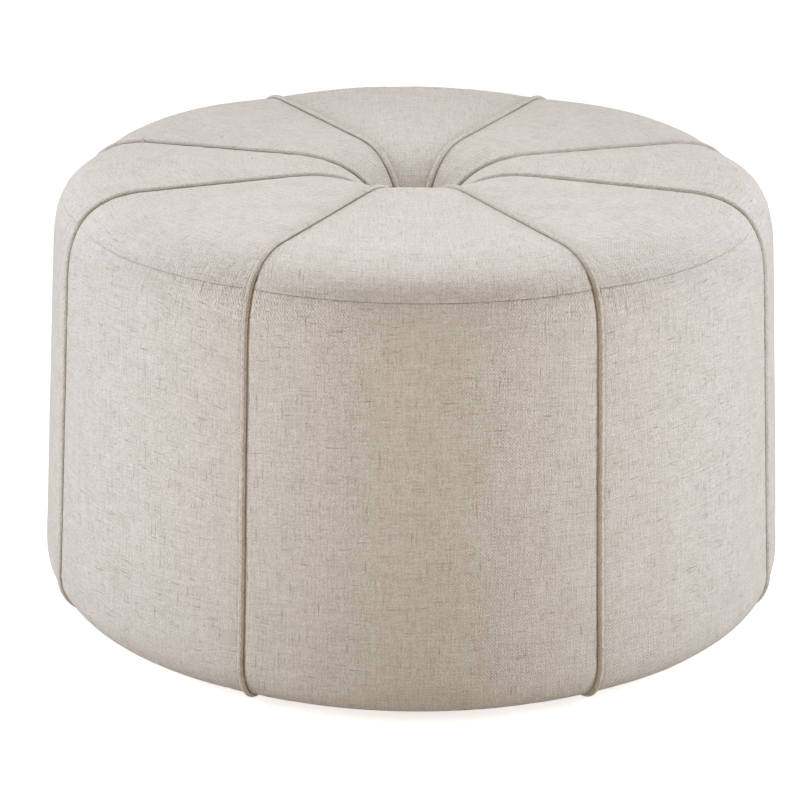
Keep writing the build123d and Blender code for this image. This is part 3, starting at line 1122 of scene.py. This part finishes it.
    def piece(self, kind: str, number: int, stretches: tuple, material: bpy.types.Material) -> None:
        """Makes one gore or panel.

        Args:
            kind: name of the CAD nodes it stands for, without a number.
            number: the gore.
            stretches: stretches of the section and their numbers of rows.
            material: the cloth.
        """
        top = kind == "top_gore"
        points, side = self.grid(number, stretches)
        normals = grid_normals(points)
        cloth = self.lay_flat(points, number + self.form.gores * top)
        run = run_along(points)
        flat_seam = run if top else run[-1:] - run
        reach = np.hypot(points[..., 0], points[..., 1])
        held = (side < self.tuck_hold * self.tuck_width) | (flat_seam < self.groove_hold * self.groove_width)
        held |= (reach < self.well * self.form.roll_reach) | (points[..., 2] < self.form.clearance + self.cloth)
        held[0] = held[-1] = True
        shape = self.stuffing.fill(points, held)

        # Waves and puckers fade out towards the piping, the flat seam and the well
        ease = grow(side, self.wave_fade, self.wave_start * self.tuck_width) * grow(flat_seam, self.seam_fade)
        free = grow(reach, self.well_fade, self.well_start * self.form.roll_reach)
        shape += self.wave * self.swell(cloth, 40 + number + 8 * top) * ease * free
        puckers = self.pucker * self.ripple(cloth[..., 0], flat_seam, 70 + number)
        shape += puckers * grow(side, self.pucker_fade) * (self.top_pucker if top else 1.0)
        puckers = self.side_pucker * self.pucker * self.ripple(cloth[..., 1], side, 90 + number)
        shape += puckers * grow(side, self.side_fade) * free

        tight = self.least_tight + (1 - self.least_tight) * (points[..., 1] / reach) ** 2
        tuck = self.tuck_depth / (1 + (side / self.tuck_width) ** 4)
        groove = self.groove_depth * tight / (1 + (flat_seam / self.groove_width) ** 2.5)
        points = points + normals * (shape - np.maximum(tuck, groove))[..., None]
        edge = 0 if top else -1
        points[edge, :, 2] += (self.flat_gap if top else -self.flat_gap) * tight[edge]
        # Painted shade beside the piping and along the flat seam; along the seam it is stronger on the long ends
        beside_piping = self.piping_shade * np.exp(-((side / self.piping_shade_width) ** 2))
        along_seam = self.seam_shade * tight * np.exp(-((flat_seam / self.groove_width) ** 2))
        painted_shade = np.clip(beside_piping + along_seam, 0, 1)

        vertices, faces = closed_sheet(points, self.cloth)
        made = new_object(f"{kind}_cover_{number}", vertices, faces, material)
        map_cloth(made, np.concatenate([cloth.reshape(-1, 2)] * 2), np.concatenate([painted_shade.ravel()] * 2))
        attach(made, BODY)
        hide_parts(f"{kind}_{number}")
        log.info("%s: %d faces", made.name, len(faces))

    def build(self) -> None:
        """Makes all sixteen pieces of the cover."""
        material = self.weave.build()
        for number in range(1, self.form.gores + 1):
            self.piece("side_panel", number, self.side_rows, material)
            self.piece("top_gore", number, self.top_rows, material)


@dataclass
class Piping:
    """Corded piping along each upright seam: cloth cut on the bias and sewn round a soft cord.

    wander and swelling are how far the hand-sewn cord strays aside and thickens. flatness is its height for its
    width, because a cord under stretched cloth is a little flatter than round.
    """

    form: BodyForm
    weave: LinenWeave
    radius: float = 3.2 * MM
    proud: float = 0.6 * MM
    tail: float = 12 * MM
    around: int = 18
    step: float = 4 * MM
    wander: float = 0.45 * MM
    swelling: float = 0.05
    flatness: float = 0.95

    def path(self, azimuth: float) -> np.ndarray:
        """Follows one seam from under the foot into the tuft.

        Args:
            azimuth: the seam's azimuth.

        Returns:
            Points in even steps.
        """
        fine = []
        for stop in Stop:
            first = 1 - self.tail / self.form.wrap if stop is Stop.UNDER else 0.0
            for share in np.linspace(first, 1, 40)[: None if stop is Stop.FUNNEL else -1]:
                fine.append(self.form.at(stop, float(share), np.array([azimuth]), -self.proud)[0])
        fine = np.array(fine)
        run = run_along(fine)
        even = np.linspace(0, run[-1], int(run[-1] / self.step))
        return np.stack([np.interp(even, run, fine[:, k]) for k in range(3)], -1)

    def build(self) -> None:
        """Makes all eight welts."""
        material = self.weave.build()
        angle = ring(self.around)
        wide, tall = np.cos(angle)[None, :, None], self.flatness * np.sin(angle)[None, :, None]
        for number in range(1, self.form.gores + 1):
            azimuth = self.form.seam(number)
            chance = np.random.default_rng(300 + number)
            path = self.path(azimuth)
            run = run_along(path)
            aside = np.array([-math.sin(azimuth), math.cos(azimuth), 0.0])
            out = unit(np.cross(aside, unit(np.gradient(path, axis=0))))
            drift, fat = np.zeros(len(run)), np.zeros(len(run))
            for _ in range(6):
                drift += np.sin(FULL_TURN * (run / chance.uniform(0.07, 0.3) + chance.random())) / 6
                fat += np.sin(FULL_TURN * (run / chance.uniform(0.02, 0.09) + chance.random())) / 6
            path = path + aside * (drift * self.wander)[:, None]
            radius = self.radius * (1 + self.swelling * fat)
            loops = path[:, None] + radius[:, None, None] * (wide * aside + tall * out[:, None])
            vertices, faces = wheel_mesh(loops, False)
            made = new_object(f"welt_piping_{number}", vertices, [face[::-1] for face in faces], material)
            across = angle[None] * self.radius + 0 * run[:, None] + 0.4 * number
            # Painted shade on the cord: strongest on the side sunk into the cloth, lighter on its flanks, faint on
            # its top
            painted_shade = np.clip(0.3 - 1.1 * np.sin(angle)[None] + 0 * run[:, None], 0.12, 1)
            map_cloth(made, np.stack([across, run[:, None] + 0 * angle[None]], -1), painted_shade)
            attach(made, BODY)
            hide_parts(f"welt_{number}")
            log.info("%s: %.2f m long", made.name, run[-1])


@dataclass
class FlatSeam:
    """Lockstitches that join each top gore to its side panel, sunk in the fold between them.

    profile lists places along a stitch and how thick it is there.
    """

    form: BodyForm
    thread: SewingThread
    pitch: float = 3.6 * MM
    length: float = 3.0 * MM
    radius: float = 0.4 * MM
    sunk: float = 0.75 * MM
    margin: float = 4.4 * MM
    profile: tuple = ((-0.5, 0.35), (-0.38, 0.85), (0.0, 1.0), (0.38, 0.85), (0.5, 0.35))

    def build(self) -> None:
        """Makes the stitches of all eight panels."""
        material = self.thread.build()
        angle = ring(6)[:, None]
        for number in range(1, self.form.gores + 1):
            fine = np.linspace(self.form.seam(number), self.form.seam(number + 1), 400)
            line = self.form.at(Stop.EDGE_LOW, 1.0, fine, self.sunk)
            run = run_along(line)
            count = int((run[-1] - 2 * self.margin) / self.pitch)
            first = (run[-1] - count * self.pitch) / 2 + self.pitch / 2
            vertices, faces = [], []
            for k in range(count):
                loops = []
                for share, size in self.profile:
                    place = first + k * self.pitch + share * self.length
                    where = np.array([np.interp(place, run, line[:, a]) for a in range(3)])
                    out = unit(np.array([where[0], where[1], 0.0]))
                    loop = np.cos(angle) * out + np.sin(angle) * np.array([0.0, 0.0, 1.0])
                    loops.append(where + self.radius * size * loop)
                points, quads = wheel_mesh(np.array(loops), False)
                start = len(vertices) * len(points)
                vertices.append(points)
                faces.extend(tuple(start + v for v in quad) for quad in quads)
            made = new_object(f"flat_seam_stitches_{number}", np.concatenate(vertices), faces, material)
            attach(made, BODY)
            log.info("%s: %d stitches", made.name, count)


@dataclass
class FoamCore:
    """Foam pads round the side and the crowned seat block, with channels under the seams."""

    form: BodyForm
    foam: FoamCells
    lining: float = 1.9 * MM
    channel: float = 2.6 * MM
    pad: float = 46 * MM
    pad_gap: float = 0.6 * MM
    bore: float = 8 * MM
    clear: float = 0.6 * MM
    deck_gap: float = 0.2 * MM
    lip: float = 8 * MM
    collar: float = 6 * MM
    columns: int = 14

    def face(self, stop: Stop, share: float, azimuth: np.ndarray) -> np.ndarray:
        """Finds points on the foam's outer face."""
        inset = self.lining + self.clear + self.channel * (1 - self.form.lift(azimuth))
        return self.form.at(stop, share, azimuth, inset)

    def back(self, inset: float, level: float, azimuth: np.ndarray) -> np.ndarray:
        """Finds points on the upright back of a pad.

        Args:
            inset: how far inside the cover's outer face.
            level: level of the points.
            azimuth: azimuths of the points.

        Returns:
            One point for each azimuth.
        """
        low = self.form.clearance + self.form.foot_radius
        high = self.form.height - self.form.crown - self.form.edge_radius
        reach = self.form.oval(inset + self.form.lean * (level - low) / (high - low), azimuth)
        return round_points(reach, level, azimuth)

    def side_pads(self, material: bpy.types.Material) -> None:
        """Makes the eight side pads.

        Args:
            material: the foam.
        """
        top = self.form.deck_level - self.clear
        bottom = self.form.clearance + self.lining + self.clear + self.channel
        gap = self.pad_gap / (self.form.width / 2)
        for number in range(1, self.form.gores + 1):
            azimuth = np.linspace(self.form.seam(number) + gap, self.form.seam(number + 1) - gap, self.columns)
            rows = [self.face(Stop.FOOT, share, azimuth) for share in np.linspace(0, 1, 9)]
            low, full = rows[-1], self.face(Stop.WALL, 1.0, azimuth)
            for share in np.linspace(0.08, 1, 12):
                rise = (top - low[:, 2]) / (full[:, 2] - low[:, 2]) * share
                rows.append(low + (full - low) * rise[:, None])
            for level in np.linspace(top, bottom, 8):
                rows.append(self.back(self.lining + self.pad, float(level), azimuth))
            vertices, faces = wheel_mesh(np.array(rows).transpose(1, 0, 2), False)
            made = new_object(f"side_pad_foam_{number}", vertices, faces, material)
            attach(made, BODY)
            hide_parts(f"side_pad_{number}")
            log.info("%s: %d faces", made.name, len(faces))

    def seat_block(self, material: bpy.types.Material) -> None:
        """Makes the crowned top block.

        Args:
            material: the foam.
        """
        form = self.form
        azimuth = form.seam(1) + ring(self.columns * form.gores)
        across = round_points(1.0, 0.0, azimuth)
        level = np.array([0.0, 0.0, form.deck_level + self.deck_gap])
        low, high = self.face(Stop.WALL, 0.0, azimuth), self.face(Stop.WALL, 1.0, azimuth)
        rise = (level[2] - low[:, 2]) / (high[:, 2] - low[:, 2])
        corner = low + (high - low) * rise[:, None]
        reach = np.hypot(corner[:, 0], corner[:, 1])[:, None]
        rows = [across * (self.bore + (reach - self.bore) * share) + level for share in np.linspace(0, 1, 9)[:-1]]
        rows += [corner + (high - corner) * share for share in np.linspace(0, 1, 5)[:-1]]
        for stop, count in ((Stop.EDGE_LOW, 6), (Stop.EDGE_HIGH, 8), (Stop.TOP, 8)):
            rows += [self.face(stop, share, azimuth) for share in np.linspace(0, 1, count)[:-1]]
        rows += [self.face(Stop.ROLL, share, azimuth) for share in np.linspace(0, 1, 12)]
        rows.append(self.face(Stop.FUNNEL, 0.9, azimuth))
        bottom = float(rows[-1][:, 2].mean()) - self.lip
        for height in np.linspace(bottom, form.deck_level + self.collar, 4):
            rows.append(round_points(self.bore, height, azimuth))
        vertices, faces = wheel_mesh(np.array(rows).transpose(1, 0, 2), True)
        made = new_object("seat_block_foam", vertices, faces, material)
        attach(made, BODY)
        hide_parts("top_foam")
        log.info("%s: %d faces", made.name, len(faces))

    def build(self) -> None:
        """Makes the foam."""
        material = self.foam.build()
        self.side_pads(material)
        self.seat_block(material)


@dataclass
class CentreTuft:
    """Covered button in the bottom of the well, with the wire eye and the twine that pull it down.

    The cloth runs over the dome and on round the rim to the sweep's end, where it is gathered in pleats.
    """

    weave: LinenWeave
    twine: WaxedTwine
    wire_plate: ZincPlate
    dome: float = 7.5 * MM
    under: float = 4.5 * MM
    sweep: float = math.radians(118)
    pleats: int = 22
    pleat_start: float = 0.55
    pleat_depth: float = 0.35 * MM
    least_reach: float = 0.05 * MM
    back_drop: float = 9 * MM
    back_reaches: tuple[float, float] = (0.72, 0.2)
    eye_drop: float = 9.5 * MM
    wire: float = 1.0 * MM
    arm: float = 4.0 * MM
    rings: int = 22
    around: int = 132

    def button(self, radius: float, crown: float) -> bpy.types.Object:
        """Makes the button's cover.

        Args:
            radius: the button's radius.
            crown: level of its top.

        Returns:
            The cover.
        """
        angle = ring(self.around)
        gather = np.cos(self.pleats * angle + 0.8 * np.sin(3 * angle))
        rows, creases = [], []
        for share in np.linspace(0, 1, self.rings + 1):
            turn = share * self.sweep
            height = self.dome if turn < math.pi / 2 else self.under
            fold = max(0.0, share - self.pleat_start) / (1 - self.pleat_start)
            reach = radius * math.sin(turn) + self.pleat_depth * fold * (gather - 1)
            level = crown - self.dome + height * math.cos(turn)
            rows.append(round_points(np.maximum(reach, self.least_reach), level, angle))
            # Painted shade in the valleys of the pleats
            creases.append(0.3 * fold * (1 - gather))
        for share in self.back_reaches:
            rows.append(round_points(share * radius, crown - self.back_drop, angle))
            creases.append(0 * angle)
        points = np.array(rows).transpose(1, 0, 2).reshape(-1, 3)
        count = len(rows)
        faces = []
        for i in range(self.around):
            here, there = i * count, (i + 1) % self.around * count
            faces.extend((here + j + 1, there + j + 1, there + j, here + j) for j in range(count - 1))
        faces.append(tuple(i * count for i in range(self.around)))
        faces.append(tuple(i * count + count - 1 for i in range(self.around - 1, -1, -1)))
        made = new_object("tuft_button_cover", points, faces, self.weave.build())
        map_cloth(made, points[:, :2], np.array(creases).T)
        return made

    def eye(self, low: float, top: float) -> bpy.types.Object:
        """Makes the button's wire eye.

        Args:
            low: level of its lowest point.
            top: level of its ends.

        Returns:
            The eye.
        """
        arm, middle = self.arm, low + self.wire + self.arm
        bow = [(0.0, -arm * math.cos(t), middle - arm * math.sin(t)) for t in np.linspace(0, math.pi, 16)[1:-1]]
        path = np.array([(0.0, -arm, top), (0.0, -arm, middle), *bow, (0.0, arm, middle), (0.0, arm, top)])
        aside = np.array([1.0, 0.0, 0.0])
        out = np.cross(unit(np.gradient(path, axis=0)), aside)
        angle = ring(10)[None, :, None]
        loops = path[:, None] + self.wire * (np.cos(angle) * aside + np.sin(angle) * out[:, None])
        return new_object("tuft_button_eye", *wheel_mesh(loops, False), self.wire_plate.build())

    def build(self) -> None:
        """Makes the button and dresses what holds it."""
        low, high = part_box("tuft_button")
        made = self.button((high.x - low.x) / 2, high.z)
        eye = self.eye(low.z, high.z - self.eye_drop)
        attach(made, BODY)
        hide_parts("tuft_button")
        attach(eye, BODY)
        dress(self.twine.build(), "tuft_twine")
        log.info("%s and %s made", made.name, eye.name)


@dataclass
class DustSheet:
    """Black non-woven cloth stapled under the base, drawn tight with faint sags between its staples."""

    cloth: SpunbondCloth
    thickness: float = 0.7 * MM
    gap: float = 0.1 * MM
    sag: float = 1.0 * MM
    hem_wave: float = 0.2 * MM
    staples: int = 32
    rings: int = 26
    around: int = 160

    def build(self) -> None:
        """Makes the sheet."""
        low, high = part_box("dust_cover")
        half = ((high.x - low.x) / 2, (high.y - low.y) / 2)
        angle = ring(self.around)
        shares = np.linspace(0.002, 1, self.rings)
        rows = []
        for drop, face in ((self.thickness, shares), (0.0, shares[::-1])):
            for share in face:
                droop = self.sag * (1 - share**2) * (0.6 + 0.4 * np.cos(5 * angle))
                droop += self.hem_wave * share**6 * np.cos(self.staples * angle)
                level = high.z - drop - self.gap - np.maximum(droop, 0)
                rows.append(np.stack([half[0] * share * np.cos(angle), half[1] * share * np.sin(angle), level], -1))
        vertices, faces = wheel_mesh(np.array(rows).transpose(1, 0, 2), True)
        made = new_object("dust_cloth_sheet", vertices, [face[::-1] for face in faces], self.cloth.build())
        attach(made, BODY)
        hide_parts("dust_cover")
        log.info("%s: %d faces", made.name, len(faces))


@dataclass
class TimberFrame:
    """Posts, boards and bent skins inside the foam."""

    pine: PlanedPine
    plywood: SandedPlywood
    fibreboard: BentFibreboard
    posts: int = 8

    def build(self) -> None:
        """Dresses the frame's own solids."""
        dress(self.pine.build(), *[f"post_{n}" for n in range(1, self.posts + 1)])
        dress(self.plywood.build(), "base_board", "deck_board")
        dress(self.fibreboard.build(), "side_skin_right", "side_skin_left", "tuft_anchor")


@dataclass
class Fixings:
    """Glides, nails, screws and staples."""

    nylon: MouldedNylon
    zinc: ZincPlate
    glides: int = 6

    def build(self) -> None:
        """Dresses the fixings' own solids."""
        dress(self.nylon.build(), *[f"glide_{n}" for n in range(1, self.glides + 1)])
        dress(self.zinc.build(), "glide_nails", "deck_screws", "base_screws", "staples")


@dataclass(frozen=True)
class Softbox:
    """A soft rectangular lamp. spread is in degrees, and 180 leaves it open."""

    name: str
    place: tuple[float, float, float]
    target: tuple[float, float, float]
    size: tuple[float, float]
    power: float
    colour: str
    spread: float = 180.0

    def build(self) -> None:
        """Hangs the lamp."""
        data = bpy.data.lights.new(self.name, "AREA")
        data.spread = math.radians(self.spread)
        data.color = linear(self.colour)[:3]
        data.shape = "RECTANGLE"
        data.size, data.size_y = self.size
        data.energy = self.power
        lamp = bpy.data.objects.new(self.name, data)
        lamp.location = self.place
        lamp.rotation_euler = (Vector(self.target) - Vector(self.place)).to_track_quat("-Z", "Y").to_euler()
        bpy.context.scene.collection.objects.link(lamp)


@dataclass
class Studio:
    """Pale floor, soft lights and the camera at the photograph's angle, which a fit to its seams gives."""

    paint: StudioPaint
    focal_pixels: float = 4053.05
    frame_pixels: float = 800.0
    sensor: float = 36.0
    distance: float = 4.2613
    camera_height: float = 1.4345
    turn: float = 0.0245
    heading: float = 0.0031
    pitch: float = 0.2819
    roll: float = 0.0064
    floor_half: float = 14.0
    room_colour: str = "FFDAA6"
    room_strength: float = 0.225
    lamps: tuple[Softbox, ...] = (
        Softbox("top_softbox", (0.0, 2.1, 3.9), (0.0, -1.8, 0.45), (1.5, 1.0), 28.0, "F2F6FF", 66.0),
        Softbox("left_softbox", (-3.0, -0.75, 1.15), (0.0, 0.0, 0.2), (1.0, 1.7), 66.0, "E3EDFF"),
        Softbox("right_softbox", (3.0, -0.75, 1.15), (0.0, 0.0, 0.2), (1.0, 1.7), 66.0, "E3EDFF"),
        Softbox("front_fill", (0.0, -4.2, 0.8), (0.0, 0.0, 0.2), (1.8, 1.0), 7.5, "FFB85C"),
    )

    def camera(self) -> None:
        """Sets up the camera."""
        data = bpy.data.cameras.new("photo_camera")
        data.sensor_width = self.sensor
        data.lens = self.focal_pixels / self.frame_pixels * self.sensor
        data.clip_end = 100
        camera = bpy.data.objects.new("photo_camera", data)
        bpy.context.scene.collection.objects.link(camera)
        spot = Matrix.Rotation(-self.turn, 4, "Z") @ Vector((0, -self.distance, self.camera_height))
        facing = Matrix.Rotation(self.heading - self.turn, 4, "Z") @ Matrix.Rotation(math.pi / 2 - self.pitch, 4, "X")
        camera.matrix_world = Matrix.Translation(spot) @ facing @ Matrix.Rotation(self.roll, 4, "Z")
        bpy.context.scene.camera = camera

    def room(self) -> None:
        """Sets the room's light, which the camera sees as white."""
        world = bpy.data.worlds.new("studio_room")
        bpy.context.scene.world = world
        world.use_nodes = True
        tree = world.node_tree
        tree.nodes.clear()
        room = add(tree, "Background", {"Color": linear(self.room_colour), "Strength": self.room_strength})
        white = add(tree, "Background", {"Color": (1, 1, 1, 1), "Strength": 1.0})
        mixed = add(tree, "MixShader", {0: seen_rays(tree), 1: room.outputs[0], 2: white.outputs[0]})
        add(tree, "OutputWorld", {0: mixed.outputs[0]})

    def floor(self) -> None:
        """Lays the floor."""
        half = self.floor_half
        corners = np.array([(-half, -half, 0.0), (half, -half, 0.0), (half, half, 0.0), (-half, half, 0.0)])
        floor = new_object("studio_floor", corners, [(0, 1, 2, 3)], self.paint.build())

    def build(self) -> None:
        """Sets the studio up."""
        self.camera()
        for lamp in self.lamps:
            lamp.build()
        self.room()
        self.floor()
        bpy.context.scene.view_settings.view_transform = "Standard"
        log.info("studio set up")


def main() -> None:
    """Builds the ottoman's looks."""
    logging.basicConfig(level=logging.INFO, format="%(name)s: %(message)s")
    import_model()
    form = BodyForm()
    Studio(StudioPaint()).build()
    SewnCover(form, LinenWeave()).build()
    Piping(form, LinenWeave(name="linen_piping_bias", turn=(0.0, 0.0, math.pi / 4))).build()
    FlatSeam(form, SewingThread()).build()
    FoamCore(form, FoamCells()).build()
    CentreTuft(LinenWeave(name="linen_button"), WaxedTwine(), ZincPlate("zinc_plated_wire")).build()
    DustSheet(SpunbondCloth()).build()
    TimberFrame(PlanedPine(), SandedPlywood(), BentFibreboard()).build()
    Fixings(MouldedNylon(), ZincPlate()).build()


if __name__ == "__main__":
    main()
